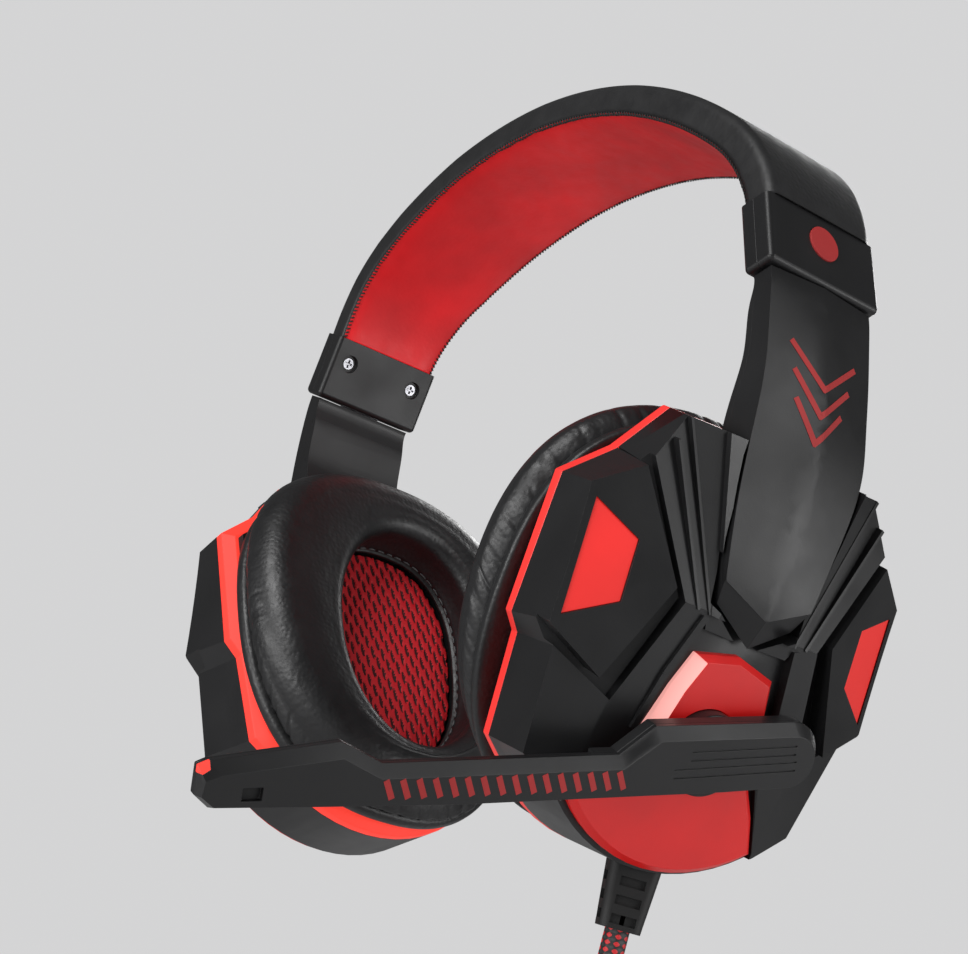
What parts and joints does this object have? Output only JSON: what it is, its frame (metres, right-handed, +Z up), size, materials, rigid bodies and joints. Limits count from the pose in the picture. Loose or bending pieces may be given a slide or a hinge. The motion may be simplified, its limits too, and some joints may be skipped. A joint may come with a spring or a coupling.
{
  "type": "gaming headset",
  "caption": "Over-ear headset with a padded arched band, sliding arms, tilting faceted ear cups with soft cushions, a swinging boom microphone and a cable.",
  "frame": {"origin": "middle of the band lining, at its highest point inside, where the band rests on the head", "axes": "+Z up, +X to the wearer's left (the cup with the microphone), -Y to the wearer's front"},
  "size_m": [0.1956, 0.1852, 0.359],
  "materials": {
    "cover_leather": "fine-grained synthetic leather, satin",
    "red_leather": "smooth synthetic leather, satin",
    "foam": "soft foam",
    "spring_steel": "brushed",
    "screw_steel": "satin",
    "black_satin": "fine texture, satin",
    "black_plastic": "semi-gloss",
    "baffle_plastic": "matt",
    "badge_red": "gloss",
    "window_red": "gloss, lit from behind",
    "panel_red": "gloss, lit from behind",
    "light_guide": "translucent, lit red",
    "mesh_red": "open air mesh",
    "cushion_leather": "soft grained synthetic leather",
    "driver_dark": "matt",
    "driver_film": "thin film",
    "board_green": "solder mask",
    "boot_rubber": "matt",
    "cord_braid": "braided, black and grey with red flecks",
    "tie_rubber": "matt",
    "plug_plastic": "satin",
    "plug_metal": "bright"
  },
  "bodies": {
    "headband": {"headband_cover": "cover_leather", "headband_lining": "red_leather", "headband_foam": "foam", "headband_spring": "spring_steel", "clamp_outer_left": "black_satin", "clamp_outer_right": "black_satin", "clamp_inner_left": "black_satin", "clamp_inner_right": "black_satin", "clamp_screws": "screw_steel", "badge_left": "badge_red", "badge_right": "badge_red", "slider_rail_left": "spring_steel", "slider_rail_right": "spring_steel"},
    "arm_left": {"arm_outer_left": "black_satin", "arm_inner_left": "black_satin", "arm_screws_left": "screw_steel"},
    "arm_right": {"arm_outer_right": "black_satin", "arm_inner_right": "black_satin", "arm_screws_right": "screw_steel"},
    "cup_left": {"shell_left": "black_plastic", "baffle_left": "baffle_plastic", "light_strip_left": "light_guide", "window_front_left": "window_red", "window_rear_left": "window_red", "lower_panel_left": "panel_red", "light_bar_left": "light_guide", "driver_frame_left": "driver_dark", "driver_cone_left": "driver_film", "led_board_left": "board_green", "ear_mesh_left": "mesh_red", "cushion_left": "cushion_leather", "pivot_pin_left": "spring_steel", "cup_screws_left": "screw_steel", "mic_hub": "black_plastic", "mic_pivot_screw": "screw_steel", "cable_boot": "boot_rubber", "cable_lead": "cord_braid", "cable_coil": "cord_braid", "cable_tie": "tie_rubber", "cable_tail": "cord_braid", "usb_plug": "plug_plastic", "usb_shell": "plug_metal"},
    "cup_right": {"shell_right": "black_plastic", "baffle_right": "baffle_plastic", "light_strip_right": "light_guide", "window_front_right": "window_red", "window_rear_right": "window_red", "lower_panel_right": "panel_red", "light_bar_right": "light_guide", "driver_frame_right": "driver_dark", "driver_cone_right": "driver_film", "led_board_right": "board_green", "ear_mesh_right": "mesh_red", "cushion_right": "cushion_leather", "pivot_pin_right": "spring_steel", "cup_screws_right": "screw_steel"},
    "mic_boom": {"boom_outer": "black_plastic", "boom_inner": "black_plastic", "mic_capsule": "screw_steel", "tip_light": "light_guide"}
  },
  "joints": [
    {"name": "slide_left", "type": "slide", "parent": "headband", "child": "arm_left", "axis": [0.1, 0, -0.995], "range_m": [0, 0.022]},
    {"name": "slide_right", "type": "slide", "parent": "headband", "child": "arm_right", "axis": [-0.1, 0, -0.995], "range_m": [0, 0.022]},
    {"name": "tilt_left", "type": "hinge", "parent": "arm_left", "child": "cup_left", "pos_m": [0.08667, 0.00263, -0.10558], "axis": [0, 1, 0], "range_deg": [-4, 4]},
    {"name": "tilt_right", "type": "hinge", "parent": "arm_right", "child": "cup_right", "pos_m": [-0.08667, 0.00263, -0.10558], "axis": [0, 1, 0], "range_deg": [-4, 4]},
    {"name": "mic_swing", "type": "hinge", "parent": "cup_left", "child": "mic_boom", "pos_m": [0.07966, 0.00263, -0.15534], "axis": [-0.9163, 0, 0.4004], "range_deg": [-20, 110]}
  ]
}
